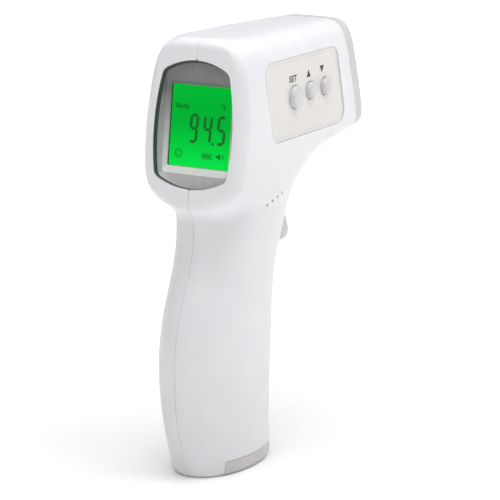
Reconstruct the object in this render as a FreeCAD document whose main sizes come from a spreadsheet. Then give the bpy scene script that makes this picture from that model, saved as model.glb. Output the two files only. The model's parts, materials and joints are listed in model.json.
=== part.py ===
import FreeCAD, Part

import math
import os
import re

import Sketcher
from FreeCAD import Matrix, Placement, Rotation, Vector

# Gun-shaped infrared forehead thermometer, in millimetres.
#
# The part stands on the foot of its handle: +X points forward, the way the sensor looks, +Y to the
# holder's left, +Z up, with the origin at the middle of the bounding box's underside.  The pieces are
# drawn about a datum, the middle of the display opening on the display's rim plane, and each one's
# Placement carries it from there to the stand frame.

DIMENSIONS = [
    ("datum_x", -39.568), ("datum_z", 120.5),
    # casing
    ("head_top", 28.6), ("roof_crown", 0.7), ("head_taper", 3.2), ("wall", 2.0), ("rear_wall", 2.2),
    ("display_tilt", 7.26), ("nose_tilt", 15.0), ("seam_x", 81.6), ("muzzle_x", 88.6),
    ("rim_round", 4.0), ("foot_round", 2.5), ("muzzle_round", 2.5), ("seam_gap", 0.12),
    # display opening and bezel
    ("opening_top", 21.4), ("opening_side", 15.45), ("opening_top_corner", 12.9),
    ("opening_low_corner", 14.2), ("opening_corner_z", 17.6), ("opening_round", 3.2),
    ("view_width", 23.9), ("view_height", 27.3), ("view_z", -0.65), ("view_lip", 0.75),
    # display stack, depths measured inwards from the rim plane
    ("glass_depth", 5.45), ("glass_width", 27.6), ("glass_height", 31.5), ("glass_thick", 1.9),
    ("holder_width", 30.6), ("holder_height", 34.6), ("holder_depth", 5.5),
    ("light_height", 25.5), ("light_thick", 3.2), ("zebra_width", 25.0), ("zebra_height", 2.2),
    ("board_depth", 11.2), ("board_thick", 1.6), ("board_width", 29.0), ("board_height", 44.0),
    # side panel and keys, depths measured inwards from the label's face
    ("panel_x", 44.4), ("panel_y", 17.4), ("panel_z", 5.95), ("panel_lean", 1.5),
    ("label_x", -0.5), ("label_length", 55.0), ("label_height", 27.3), ("label_rake", 6.4),
    ("label_round", 4.5), ("label_thick", 0.6), ("set_radius", 3.9), ("arrow_radius", 3.0),
    ("set_x", -8.05), ("set_z", -0.05), ("up_x", 3.6), ("up_z", 0.7), ("down_x", 14.65), ("down_z", 0.7),
    ("key_proud", 1.5), ("key_gap", 0.25), ("switch_depth", 4.3), ("switch_height", 3.3),
    ("switch_side", 4.4), ("plunger_radius", 1.6),
    ("key_board_length", 34.4), ("key_board_height", 18.0), ("key_board_z", 0.8),
    # trigger
    ("pivot_x", 43.0), ("pivot_z", -31.5), ("pin_radius", 1.25), ("pin_length", 15.6),
    ("hub_radius", 2.6), ("trigger_width", 13.0), ("trigger_round", 2.5), ("plunger_z", -42.0),
    # sensor
    ("sensor_z", 7.0), ("cone_radius", 11.0), ("barrel_radius", 7.5), ("can_radius", 4.1),
    # handle
    ("cell_radius", 5.25), ("cell_length", 44.5), ("cell_x", 14.7), ("cell_y", 5.45),
    ("cell_foot", -114.8), ("tray_depth", 12.6), ("tray_width", 22.6), ("tray_foot", -114.4),
    ("tray_top", -67.6), ("tray_round", 3.5), ("foot_z", -120.5), ("door_x", 2.3), ("door_top", -115.0),
    ("door_floor", 1.8), ("door_gap", 0.15),
    # fasteners and wires
    ("screw_radius", 1.15), ("screw_head", 2.4), ("small_screw", 0.8), ("small_head", 1.6),
    ("wire_radius", 0.6), ("cable_radius", 1.1),
]

doc = FreeCAD.newDocument("InfraredThermometer")
sheet = doc.addObject("Spreadsheet::Sheet", "Sizes")
for row, (alias, value) in enumerate(DIMENSIONS, start=1):
    sheet.set("A%d" % row, alias)
    sheet.set("B%d" % row, str(value))
    sheet.setAlias("B%d" % row, alias)
doc.recompute()

ALIASES = dict(DIMENSIONS)
SUB_PARTS = []


def size(alias):
    """A driving dimension, read from the sheet."""
    return float(sheet.get(alias))


# ---------------------------------------------------------------- outlines of the casing
# Each outline is (height, value) from the foot up, about the datum: where the back and the front of
# the casing lie in the middle plane, and half its width.  Above the neck, back and front run on past
# the display's rim plane and the muzzle, which are cut flat afterwards.

BACK = [(-120.5, -4.6), (-112, -7.3), (-100, -10.6), (-86, -12.3), (-74, -11.6), (-62, -8.2),
        (-52, -3.6), (-44, -0.8), (-37, 0.1), (-32, -0.3), (-28.5, -2.4), (-25, -8), (-20, -17),
        (-12, -24), (0, -26), (40, -26)]
FRONT = [(-120.5, 39.7), (-108, 38.9), (-96, 38.8), (-84, 39.3), (-70, 40.0), (-56, 41.1),
         (-46, 43.6), (-38, 47.2), (-32, 50.8), (-27, 55), (-23, 60), (-19.5, 66), (-17, 72),
         (-15.2, 79), (-14, 87), (-13, 94.5), (-11.5, 102), (-8, 109), (0, 112), (40, 112)]
HALF_WIDTH = [(-120.5, 13.6), (-110, 14.1), (-98, 14.6), (-84, 15.0), (-72, 15.1), (-58, 14.8),
              (-46, 15.0), (-38, 15.5), (-32, 16.1), (-27, 17.0), (-23, 18.2), (-19, 19.3),
              (-14, 20.1), (-7, 20.5), (40, 20.5)]

NECK_LEVELS = [-34, -31.5, -29, -26.5, -24, -21.5, -19, -17, -15, -13.5, -12, -10.5, -8.5, -6, -3, 0]
ROOF_ANGLES = [12, 24, 34, 41, 47, 53, 61, 72, 81, 90]
HANDLE_ROUNDNESS = 2.1      # superellipse exponent of a handle section; the head's are squarer
HEAD_ROUNDNESS = 6.0
POINTS_ALONG = 32           # points on half a section, from back seam to front seam


def slope(outline, index):
    low = outline[max(index - 1, 0)]
    high = outline[min(index + 1, len(outline) - 1)]
    return (high[1] - low[1]) / (high[0] - low[0])


def along(outline, height):
    """The outline's value at a height, on a smooth cubic through its points."""
    height = min(max(height, outline[0][0]), outline[-1][0])
    index = max(i for i in range(len(outline) - 1) if outline[i][0] <= height)
    (low, first), (high, last) = outline[index], outline[index + 1]
    step = high - low
    part = (height - low) / step
    rise = 3 * part ** 2 - 2 * part ** 3
    return ((1 - rise) * first + rise * last
            + (part - 1) ** 2 * part * step * slope(outline, index)
            + (part - 1) * part ** 2 * step * slope(outline, index + 1))


def moved_in(outline, distance):
    """The outline moved sideways by a distance, square to itself."""
    if distance == 0:
        return outline
    dense = []
    for (low, _), (high, _) in zip(outline, outline[1:]):
        heights = [low + (high - low) * k / 8 for k in range(8)]
        dense += [(height, along(outline, height)) for height in heights]
    dense.append(outline[-1])
    moved = []
    for index, (height, value) in enumerate(dense):
        tangent = slope(dense, index)
        length = math.hypot(1, tangent)
        height -= distance * tangent / length
        if not moved or height > moved[-1][0] + 0.05:
            moved.append((height, value + distance / length))
    return moved


def blend(start, end, value):
    """0 before start, 1 after end, and a smooth rise between."""
    part = min(max((value - start) / (end - start), 0), 1)
    return part * part * (3 - 2 * part)


def superellipse_radius(cosine, sine, roundness):
    return (abs(cosine) ** roundness + abs(sine) ** roundness) ** (-1 / roundness)


def section(level, offset):
    """Points of the casing's right half at one height, from the back seam to the front seam."""
    back = along(moved_in(BACK, offset), level)
    front = along(moved_in(FRONT, -offset), level)
    width = along(HALF_WIDTH, level) - offset
    top = size("head_top") - offset
    taper = math.tan(math.radians(size("head_taper"))) * blend(-46, -14, level)
    squarer = HEAD_ROUNDNESS - HANDLE_ROUNDNESS
    back_round = HANDLE_ROUNDNESS + squarer * blend(-33, -10, level)
    front_round = HANDLE_ROUNDNESS + 0.2 * blend(-33, -14, level) + (squarer - 0.2) * blend(-14, -4, level)
    points = []
    for k in range(POINTS_ALONG + 1):
        angle = math.pi * (1 - k / POINTS_ALONG)
        cosine, sine = math.cos(angle), math.sin(angle)
        reach = superellipse_radius(cosine, sine, back_round if cosine < 0 else front_round)
        x = (back + front) / 2 + (front - back) / 2 * reach * cosine
        along_head = min(max(x, -10), 100)
        y = width - taper * along_head
        z = level
        if level > 0:
            squared = blend(0, 15, x)
            roof = 3.4 + 2.6 * squared
            y -= (0.10 - 0.07 * squared) * level
            y *= max(0, 1 - (level / top) ** roof) ** (1 / roof)
            z -= size("roof_crown") * ((along_head - 38) / 45) ** 2 * (level / top) ** 2
        on_seam = k in (0, POINTS_ALONG) or level >= top
        points.append(Vector(x, 0 if on_seam else -y * reach * sine, z))
    return points


def spacing(lines):
    """Curve parameters for points on several lines, shared by all of them."""
    steps = [sum(math.sqrt(line[i].distanceToPoint(line[i + 1])) for line in lines)
             for i in range(len(lines[0]) - 1)]
    total = sum(steps)
    return [sum(steps[:i]) / total for i in range(len(steps) + 1)]


def through(points, parameters):
    curve = Part.BSplineCurve()
    curve.interpolate(Points=points, Parameters=parameters)
    return curve


def skin_surface(offset):
    """One smooth surface through the sections of the right half."""
    foot = size("foot_z") + offset
    top = size("head_top") - offset
    levels = [foot + (NECK_LEVELS[0] - foot) * k / 12 for k in range(12)] + NECK_LEVELS
    for degrees in ROOF_ANGLES:
        cosine, sine = math.cos(math.radians(degrees)), math.sin(math.radians(degrees))
        levels.append(top * sine * superellipse_radius(cosine, sine, 5))
    sections = [section(level, offset) for level in levels]
    across = spacing(sections)
    upwards = spacing([list(column) for column in zip(*sections)])
    curves = [through(points, across) for points in sections]
    columns = [through(list(poles), upwards) for poles in zip(*[curve.getPoles() for curve in curves])]
    surface = Part.BSplineSurface()
    surface.buildFromPolesMultsKnots([column.getPoles() for column in columns],
                                     curves[0].getMultiplicities(), columns[0].getMultiplicities(),
                                     curves[0].getKnots(), columns[0].getKnots(), False, False, 3, 3)
    return surface


def span(edge):
    """A few points along an edge."""
    first, last = edge.FirstParameter, edge.LastParameter
    return [edge.valueAt(first + (last - first) * k / 6) for k in range(7)]


def half_skin(offset):
    """The right half of the casing as a closed solid, with its skin moved inwards by an offset."""
    face = skin_surface(offset).toShape()
    seam = [edge for edge in face.Edges if all(abs(point.y) < 1e-6 for point in span(edge))]
    foot = [edge for edge in face.Edges if not all(abs(point.y) < 1e-6 for point in span(edge))][0]
    chord = Part.makeLine(foot.Vertexes[0].Point, foot.Vertexes[-1].Point)
    middle = Part.Face(Part.Wire(Part.__sortEdges__(seam + [chord])))
    shell = Part.makeShell([face, middle, Part.Face(Part.Wire([foot, chord]))])
    shell.sewShape()
    solid = Part.makeSolid(shell)
    if solid.Volume < 0:
        solid.reverse()
    return solid


# ---------------------------------------------------------------- frames

def frame(origin, x_axis, y_axis, z_axis):
    columns = (x_axis, y_axis, z_axis, origin)
    rows = [getattr(vector, name) for name in "xyz" for vector in columns]
    return Placement(Matrix(*rows, 0, 0, 0, 1))


DATUM = Placement(Vector(size("datum_x"), 0, size("datum_z")), Rotation())
TILT = math.radians(size("display_tilt"))
# Looking at the display: x to the right, y up, z out of the face.
DISPLAY = frame(Vector(), Vector(0, -1, 0), Vector(math.sin(TILT), 0, math.cos(TILT)),
                Vector(-math.cos(TILT), 0, math.sin(TILT)))
# Looking at the keys: x forward, y up, z out of the right side.
PANEL = Placement(Vector(size("panel_x"), -size("panel_y"), size("panel_z")),
                  Rotation(Vector(0, 0, 1), size("head_taper"))
                  * Rotation(Vector(1, 0, 0), -size("panel_lean")) * Rotation(Vector(1, 0, 0), 90))
FORWARD = Rotation(Vector(0, 1, 0), 90)         # turns z to +X
RIGHTWARD = Rotation(Vector(1, 0, 0), 90)       # turns z to -Y
SENSOR = Placement(Vector(0, 0, size("sensor_z")), FORWARD)


# ---------------------------------------------------------------- building blocks

def bind(obj, prop, text):
    """Tie a property to a formula in the sheet's aliases."""
    def cell(match):
        return "Sizes." + match.group(0) if match.group(0) in ALIASES else match.group(0)
    obj.setExpression(prop, re.sub(r"[a-z][a-z_]*", cell, str(text)))


def sub_part(label, obj, place=Placement()):
    """Name a finished sub-part and carry it to the stand frame."""
    obj.Label = label
    obj.Placement = DATUM.multiply(place)
    SUB_PARTS.append(obj)
    return obj


def solid_part(label, shape, place=Placement()):
    """A sub-part whose shape is made by the functions here, about the datum or in a frame of its own."""
    obj = doc.addObject("Part::Feature", label)
    obj.Shape = shape
    return sub_part(label, obj, place.multiply(shape.Placement))


def box(lengths, centre):
    obj = doc.addObject("Part::Box", "Block")
    for prop, axis, length, middle in zip(("Length", "Width", "Height"), "xyz", lengths, centre):
        bind(obj, prop, length)
        bind(obj, "Placement.Base." + axis, "%s - (%s) / 2" % (middle, length))
    return obj


def rod(radius, length, start, rotation=Rotation()):
    obj = doc.addObject("Part::Cylinder", "Rod")
    bind(obj, "Radius", radius)
    bind(obj, "Height", length)
    obj.Placement = Placement(Vector(), rotation)
    for axis, value in zip("xyz", start):
        bind(obj, "Placement.Base." + axis, value)
    return obj


def rounded_upright(obj, radius):
    """A block with its four upright edges rounded."""
    doc.recompute()
    result = doc.addObject("Part::Fillet", "Rounded")
    result.Base = obj
    upright = [i for i, edge in enumerate(obj.Shape.Edges, start=1)
               if abs(edge.tangentAt(edge.FirstParameter).z) > 0.9]
    result.Edges = [(i, size(radius), size(radius)) for i in upright]
    return result


def cut(base, *tools):
    for tool in tools:
        result = doc.addObject("Part::Cut", "Cut")
        result.Base = base
        result.Tool = tool
        base = result
    return base


def fuse(*pieces):
    result = doc.addObject("Part::MultiFuse", "Joined")
    result.Shapes = list(pieces)
    return result


def group(*pieces):
    result = doc.addObject("Part::Compound", "Group")
    result.Links = list(pieces)
    return result


def origin_plane(body, role):
    return [feature for feature in body.Origin.OriginFeatures if feature.Role == role][0]


def outline_sketch(body, role, corners):
    """A closed sketch of straight lines whose corners are formulas in the sheet's aliases."""
    sketch = body.newObject("Sketcher::SketchObject", "Outline")
    sketch.AttachmentSupport = [(origin_plane(body, role), "")]
    sketch.MapMode = "FlatFace"
    count = len(corners)
    places = [Vector(number(x), number(y), 0) for x, y in corners]
    for i in range(count):
        sketch.addGeometry(Part.LineSegment(places[i], places[(i + 1) % count]), False)
    for i in range(count):
        sketch.addConstraint(Sketcher.Constraint("Coincident", i, 2, (i + 1) % count, 1))
    for i, corner in enumerate(corners):
        for kind, text in zip(("DistanceX", "DistanceY"), corner):
            if number(text) == 0:
                axis = -2 if kind == "DistanceX" else -1
                sketch.addConstraint(Sketcher.Constraint("PointOnObject", i, 1, axis))
                continue
            index = sketch.addConstraint(Sketcher.Constraint(kind, -1, 1, i, 1, number(text)))
            bind(sketch, "Constraints[%d]" % index, text)
    return sketch


def number(text):
    """The value of a short formula, a sum or difference of aliases and numbers."""
    total = 0.0
    for sign, word in re.findall(r"([+-]?)\s*([a-z_]+|[0-9.]+)", str(text)):
        value = size(word) if word in ALIASES else float(word)
        total += -value if sign == "-" else value
    return total


def turned(profile, rounding=None):
    """A body turned about its own z axis from (radius, height) corners."""
    body = doc.addObject("PartDesign::Body", "Turned")
    sketch = outline_sketch(body, "XZ_Plane", profile)
    feature = body.newObject("PartDesign::Revolution", "Revolution")
    feature.Profile = sketch
    feature.ReferenceAxis = (sketch, ["V_Axis"])
    feature.Angle = 360
    if rounding:
        round_edges(body, feature, *rounding)
    return body


def round_edges(body, feature, radius, height):
    """Fillet the edges that lie at one height of a turned body."""
    doc.recompute()
    names = ["Edge%d" % (i + 1) for i, edge in enumerate(feature.Shape.Edges)
             if all(abs(point.z - height) < 1e-4 for point in span(edge))]
    fillet = body.newObject("PartDesign::Fillet", "Fillet")
    fillet.Base = (feature, names)
    fillet.Radius = radius
    body.Tip = fillet


def slab(low, high):
    """A plain block between two opposite corners."""
    return Part.makeBox(high[0] - low[0], high[1] - low[1], high[2] - low[2], Vector(*low))


def bar(radius, start, end):
    start, end = Vector(*start), Vector(*end)
    return Part.makeCylinder(radius, (end - start).Length, start, end - start)


def behind(x, tilt, z=0):
    """Everything behind a plane that crosses the datum height at x and leans by tilt degrees."""
    block = slab((-400, -200, -400), (0, 200, 400))
    block.rotate(Vector(), Vector(0, 1, 0), tilt)
    block.translate(Vector(x, 0, z))
    return block


def mirrored(shape):
    return shape.mirror(Vector(), Vector(0, 1, 0))


# ---------------------------------------------------------------- casing

def nose_plane(x):
    """Everything behind the slanted plane of the nose that crosses the datum height at x."""
    return behind(x, -size("nose_tilt"))


def head_only():
    """The space above the neck, where the display's rim plane cuts the casing."""
    return slab((-200, -200, -31.5), (200, 200, 200))


def core(offset, front=None):
    """The right half of the casing, cut at the rim plane and at the nose, with a smaller offset skin."""
    depth = offset * size("rear_wall") / size("wall")
    in_front_of_rim = behind(depth, size("display_tilt")).common(head_only())
    return half_skin(offset).cut(in_front_of_rim).common(nose_plane(front or size("seam_x")))


def edges_on(shape, point, normal):
    """The edges of a half casing that lie in a plane, except those on the seam."""
    found = []
    for edge in shape.Edges:
        points = span(edge)
        flat = all(abs((p - point).dot(normal)) < 1e-3 for p in points)
        if flat and abs(points[3].y) > 0.5:
            found.append(edge)
    return found


def opening(shrink, low, high):
    """A prism of the display opening, its outline moved in by shrink, between two heights."""
    side = size("opening_side") - shrink
    top = size("opening_top") - shrink
    corner_z = size("opening_corner_z") - shrink
    upper = size("opening_top_corner") - shrink
    lower = size("opening_low_corner") - shrink
    arcs = [((upper, corner_z), (0, top), (-upper, corner_z)),
            ((-upper, corner_z), (-side, -2), (-lower, -corner_z)),
            ((-lower, -corner_z), (0, -top), (lower, -corner_z)),
            ((lower, -corner_z), (side, -2), (upper, corner_z))]
    edges = [Part.Arc(*[Vector(x, y, low) for x, y in arc]).toShape() for arc in arcs]
    prism = Part.Face(Part.Wire(edges)).extrude(Vector(0, 0, high - low))
    upright = [edge for edge in prism.Edges if abs(edge.tangentAt(edge.FirstParameter).z) > 0.9]
    return prism.makeFillet(max(size("opening_round") - shrink, 0.5), upright)


def placed(shape, place):
    shape = shape.copy()
    shape.Placement = place.multiply(shape.Placement)
    return shape


def label_prism(grow, low, high):
    """The side label's slanted, round-cornered outline, grown all round, between two depths."""
    half_length = size("label_length") / 2 + grow
    half_height = size("label_height") / 2 + grow
    rake = size("label_rake") / 2
    middle = size("label_x")
    corners = [Vector(middle + side * half_length - up * rake, up * half_height, low)
               for side, up in ((-1, 1), (1, 1), (1, -1), (-1, -1))]
    prism = Part.Face(Part.makePolygon(corners + corners[:1])).extrude(Vector(0, 0, high - low))
    upright = [edge for edge in prism.Edges if abs(edge.tangentAt(edge.FirstParameter).z) > 0.9]
    return prism.makeFillet(size("label_round") + grow, upright)


KEYS = {"set": "set_radius", "up": "arrow_radius", "down": "arrow_radius"}
SHELL_SCREWS = [(24, 22), (58, 22), (62, -9.5), (16, -42), (26, -64), (25.2, -100)]     # (x, z)
SCREW_HEAD_Y = 6.0
KEY_BOARD_SCREWS = [(x, y) for x in (-15.0, 14.6) for y in (-6.0, 7.6)]      # in the PANEL frame
MAIN_BOARD_SCREWS = [(x, y) for x in (-7.5, 7.5) for y in (-20.2, 19.0)]     # in the DISPLAY frame
SOUND_HOLES = [(21.6, -29.0), (24.9, -28.1), (28.3, -27.3), (31.6, -26.4)]   # (x, z)
BUZZER = Vector(26.5, -8.8, -27.6)
TRIGGER_BOARD_X = 33.0
BULKHEAD_X = 67.0


def ribs():
    """What stands inside both shells: bosses, the sensor's bulkhead, slots and the door's runner."""
    pieces = []
    wide = 25
    for x, z in SHELL_SCREWS:
        pieces.append(bar(4.0, (x, -0.06, z), (x, -wide, z)))
    hub = (size("pivot_x"), size("pivot_z"))
    pieces.append(bar(2.7, (hub[0], -7.0, hub[1]), (hub[0], -wide, hub[1])))
    bulkhead = slab((BULKHEAD_X, -wide, -30), (BULKHEAD_X + 1.6, -0.06, 30))
    axis = size("sensor_z")
    pieces.append(bulkhead.cut(bar(size("barrel_radius") + 0.05, (60, 0, axis), (80, 0, axis))))
    slot_x = TRIGGER_BOARD_X
    guide = slab((slot_x - 1.2, -wide, -49.5), (slot_x + 2.7, -5.2, -34.5))
    pieces.append(guide.cut(slab((slot_x - 0.1, -6.1, -49.1), (slot_x + 1.6, 0, -34.9))))
    runner_floor = slab((21.5, -wide, -114.9), (37, -0.06, -113.2))
    web = slab((22.5, -0.9, -117.2), (36, -0.06, -114.8))
    flange = slab((22.5, -2.3, -117.8), (36, -0.06, -117.0))
    pieces.append(runner_floor.fuse([web, flange]))
    return pieces


def shells():
    blank = half_skin(0).cut(behind(0, size("display_tilt")).common(head_only()))
    rim_normal = DISPLAY.Rotation.multVec(Vector(0, 0, 1))
    blank = blank.makeFillet(size("rim_round"), edges_on(blank, Vector(), rim_normal))
    foot = Vector(0, 0, size("foot_z"))
    blank = blank.makeFillet(size("foot_round"), edges_on(blank, foot, Vector(0, 0, 1)))
    blank = blank.common(nose_plane(size("seam_x") - 0.1))
    hollow = core(size("wall"), size("seam_x") + 10)
    wall = blank.cut(hollow)
    inner_limit = core(0.8, size("seam_x") - 6)
    right_ribs = [rib.common(inner_limit) for rib in ribs()]
    right = wall.fuse(right_ribs)
    left = mirrored(right)

    # A tongue on the left shell's rim enters a groove in the right one.
    clear_of_rim = nose_plane(size("seam_x") - 6).cut(behind(6, size("display_tilt")).common(head_only()))
    tongue = core(1.1).cut(half_skin(size("wall"))).common(slab((-200, -1.0, -200), (200, 0, 200)))
    tongue = tongue.common(clear_of_rim)
    groove = core(0.98).cut(half_skin(size("wall") + 0.05)).common(slab((-200, -1.15, -200), (200, 0, 200)))
    groove = groove.common(clear_of_rim)
    half_gap = size("seam_gap") / 2
    seam = slab((-200, -half_gap, -200), (200, half_gap, 200))
    left = left.cut(seam).fuse(tongue.fuse(mirrored(tongue)))
    right = right.cut(seam).cut(groove)

    # Openings that cross the seam.
    window = placed(opening(0, -7, 7), DISPLAY)
    nicks = [placed(bar(0.4, (0, end, -7), (0, end, 7)), DISPLAY)
             for end in (-size("opening_top"), size("opening_top"))]
    doorway = slab((size("door_x"), -40, -130), (80, 40, size("door_top")))
    runner = slab((22, -2.5, -118.2), (36.5, 2.5, size("door_top") + 1))
    half_slot = size("trigger_width") / 2 + 0.3
    slot = slab((37.5, -half_slot, -48.4), (60, half_slot, -34.3))
    hub_room = bar(size("hub_radius") + 0.6, (size("pivot_x"), -half_slot, size("pivot_z")),
                   (size("pivot_x"), half_slot, size("pivot_z")))
    pin_end = size("pin_length") / 2 + 0.2
    pin_room = bar(size("pin_radius") + 0.03, (size("pivot_x"), -pin_end, size("pivot_z")),
                   (size("pivot_x"), pin_end, size("pivot_z")))
    shared = [window, doorway.cut(runner), slot, hub_room, pin_room] + nicks
    right, left = right.cut(shared), left.cut(shared)

    # Right side: label recess, key holes, sound holes, buzzer ring, key board posts.
    outwards = Vector(0, -25, 0)
    ring = bar(7.2, BUZZER + Vector(0, -1.7, 0), BUZZER + outwards)
    ring = ring.cut(bar(6.1, BUZZER, BUZZER + outwards))
    additions = [ring.common(inner_limit)]
    for x, y in KEY_BOARD_SCREWS:
        post = placed(bar(2.0, (x, y, -7.6), (x, y, -0.9)), PANEL)
        additions.append(post.common(inner_limit))
    right = right.fuse(additions)
    tools = [placed(label_prism(0.12, -size("label_thick"), 6), PANEL)]
    for name, radius in KEYS.items():
        centre = (size(name + "_x"), size(name + "_z"))
        hole = bar(size(radius) + size("key_gap"), (*centre, -6), (*centre, 6))
        tools.append(placed(hole, PANEL))
    for x, y in KEY_BOARD_SCREWS:
        tools.append(placed(bar(size("small_screw") + 0.05, (x, y, -8), (x, y, -3.0)), PANEL))
    for x, z in SOUND_HOLES:
        tools.append(bar(0.55, (x, -25, z), (x, -11, z)))
    for x, z in SHELL_SCREWS:
        tools.append(bar(size("screw_radius") + 0.05, (x, 1, z), (x, -8, z)))
    right = right.cut(tools)

    # Left side: the screws' holes and counterbores.
    tools = []
    for x, z in SHELL_SCREWS:
        tools.append(bar(1.5, (x, -1, z), (x, 30, z)))
        tools.append(bar(size("screw_head") + 0.3, (x, SCREW_HEAD_Y, z), (x, 30, z)))
    left = left.cut(tools)
    solid_part("right_shell", right)
    solid_part("left_shell", left)


def nose_cap():
    """The light grey muzzle: a ring, a front wall with a round hole, and a spigot into the shells."""
    thick = 3.4
    seam, muzzle = size("seam_x"), size("muzzle_x")
    half = half_skin(0).cut(nose_plane(seam)).common(nose_plane(muzzle))
    normal = Rotation(Vector(0, 1, 0), -size("nose_tilt")).multVec(Vector(1, 0, 0))
    half = half.makeFillet(size("muzzle_round"), edges_on(half, Vector(muzzle, 0, 0), normal))
    room = half_skin(thick).common(nose_plane(muzzle - 2.3))
    half = half.cut(room)
    spigot = half_skin(size("wall") + 0.15).cut(nose_plane(seam - 4)).common(nose_plane(seam + 0.5))
    half = half.fuse(spigot.cut(half_skin(thick)))
    cap = half.fuse(mirrored(half))
    axis = size("sensor_z")
    cap = cap.cut(bar(size("cone_radius") + 0.05, (70, 0, axis), (100, 0, axis)))
    solid_part("nose_cap", cap.removeSplitter())


# ---------------------------------------------------------------- display

def display_bezel():
    """The dished surround: a flange behind the casing, a sloping dish and a raised lip round the view."""
    width, height, middle = size("view_width"), size("view_height"), size("view_z")
    lip = size("view_lip")
    body = opening(0.12, -3.2, -0.8).fuse(opening(-1.6, -3.6, -2.3))
    mouth = opening(0.7, -0.8, 0).Faces
    mouth = [face for face in mouth if abs(face.CenterOfMass.z) < 1e-6][0].OuterWire
    half_w, half_h = width / 2 + lip, height / 2 + lip
    frame_corners = [Vector(x * half_w, middle + y * half_h, 0)
                     for x, y in ((1, 1), (-1, 1), (-1, -1), (1, -1), (1, 1))]
    dish_depth = 1.9
    floor = Part.makePolygon([corner - Vector(0, 0, 0.8 + dish_depth) for corner in frame_corners])
    mouth.translate(Vector(0, 0, -0.75))
    dish = Part.makeLoft([mouth, floor], True, True)
    body = body.cut(dish)
    lip_block = slab((-half_w, middle - half_h, -5.35), (half_w, middle + half_h, -1.9))
    view = slab((-width / 2, middle - height / 2, -9), (width / 2, middle + height / 2, 2))
    posts = [bar(1.9, (x, y, -size("board_depth")), (x, y, -3.2)) for x, y in MAIN_BOARD_SCREWS]
    holes = [bar(size("small_screw") + 0.05, (x, y, -12), (x, y, -6)) for x, y in MAIN_BOARD_SCREWS]
    body = body.fuse([lip_block] + posts).cut([view] + holes)
    solid_part("display_bezel", body, DISPLAY)


def display_stack():
    glass = box(("glass_width", "glass_height", "glass_thick"),
                ("0", "view_z", "-glass_depth - glass_thick / 2"))
    sub_part("lcd_panel", group(glass), DISPLAY)
    depth = "(board_depth - holder_depth)"
    holder_z = "-(board_depth + holder_depth) / 2"
    outside = box(("holder_width", "holder_height", depth), ("0", "view_z", holder_z))
    inside = box(("glass_width + 0.3", "glass_height + 0.3", "board_depth"), ("0", "view_z", holder_z))
    sub_part("lcd_frame", cut(outside, inside), DISPLAY)
    light = box(("glass_width - 0.4", "light_height", "light_thick"),
                ("0", "view_z", "-glass_depth - glass_thick - light_thick / 2 - 0.05"))
    sub_part("lcd_backlight", group(light), DISPLAY)
    strip = "(board_depth - glass_depth - glass_thick)"
    strips = [box(("zebra_width", "zebra_height", strip),
                  ("0", "view_z %s (glass_height - zebra_height) / 2" % sign, "-board_depth + %s / 2" % strip))
              for sign in "+-"]
    sub_part("zebra_strips", group(*strips), DISPLAY)


def main_board():
    board = box(("board_width", "board_height", "board_thick"),
                ("0", "-1.0", "-board_depth - board_thick / 2"))
    holes = [rod("small_screw + 0.1", "board_thick + 2", (x, y, "-board_depth - board_thick - 1"))
             for x, y in MAIN_BOARD_SCREWS]
    sub_part("main_board", cut(board, *holes), DISPLAY)
    face = "-board_depth - board_thick"
    chips = [box((w, h, t), (x, y, "%s - %s / 2" % (face, t)))
             for w, h, t, x, y in ((9, 9, 1.4, 0, 5), (5, 4, 1.5, 9, -6), (6, 2.4, 2.2, -9, -8), (4, 3, 1.6, 9, 3))]
    chips.append(rod("2.5", "5", (-9, 10, face + " - 5")))
    sub_part("board_chips", group(*chips), DISPLAY)
    screws = []
    for x, y in MAIN_BOARD_SCREWS:
        head = rod("small_head", "1.0", (x, y, face + " - 1"))
        shank = rod("small_screw", "board_thick + 4.5", (x, y, face))
        screws.append(fuse(head, shank))
    sub_part("board_screws", group(*screws), DISPLAY)


# ---------------------------------------------------------------- side keys

def side_keys():
    label = label_prism(0, -size("label_thick"), 0)
    for name, radius in KEYS.items():
        centre = (size(name + "_x"), size(name + "_z"))
        label = label.cut(bar(size(radius) + size("key_gap"), (*centre, -3), (*centre, 3)))
    solid_part("key_label", label, PANEL)
    for name, radius in KEYS.items():
        key(name, radius)
    board_z = "-switch_depth - switch_height - board_thick / 2"
    board = box(("key_board_length", "key_board_height", "board_thick"), ("0", "key_board_z", board_z))
    face = "-switch_depth - switch_height - board_thick"
    holes = [rod("small_screw + 0.1", "board_thick + 2", (x, y, face + " - 1")) for x, y in KEY_BOARD_SCREWS]
    sub_part("key_board", cut(board, *holes), PANEL)
    screws = [fuse(rod("small_head", "1.0", (x, y, face + " - 1")),
                   rod("small_screw", "board_thick + 4", (x, y, face))) for x, y in KEY_BOARD_SCREWS]
    sub_part("key_board_screws", group(*screws), PANEL)


def key(name, radius):
    """One round key: its cap, and the switch under it."""
    centre = Placement(Vector(size(name + "_x"), size(name + "_z"), 0), Rotation())
    cap = turned([(0, "-3.6"), ("1.6", "-3.6"), ("1.6", "-2.8"), (radius + " + 0.9", "-2.8"),
                  (radius + " + 0.9", "-2.0"), (radius, "-2.0"), (radius, "key_proud"), (0, "key_proud")],
                 rounding=(0.7, size("key_proud")))
    sub_part(name + "_button", cap, PANEL.multiply(centre))
    plunger = turned([(0, "-switch_depth - 0.7"), ("plunger_radius", "-switch_depth - 0.7"),
                      ("plunger_radius", "-3.6"), (0, "-3.6")])
    sub_part(name + "_plunger", plunger, PANEL.multiply(centre))
    housing = box(("switch_side", "switch_side", "switch_height"), ("0", "0", "-switch_depth - switch_height / 2"))
    well = rod("plunger_radius + 0.15", "2.3", ("0", "0", "-switch_depth - 1.3"))
    sub_part(name + "_switch", cut(housing, well), PANEL.multiply(centre))


# ---------------------------------------------------------------- trigger

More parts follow.
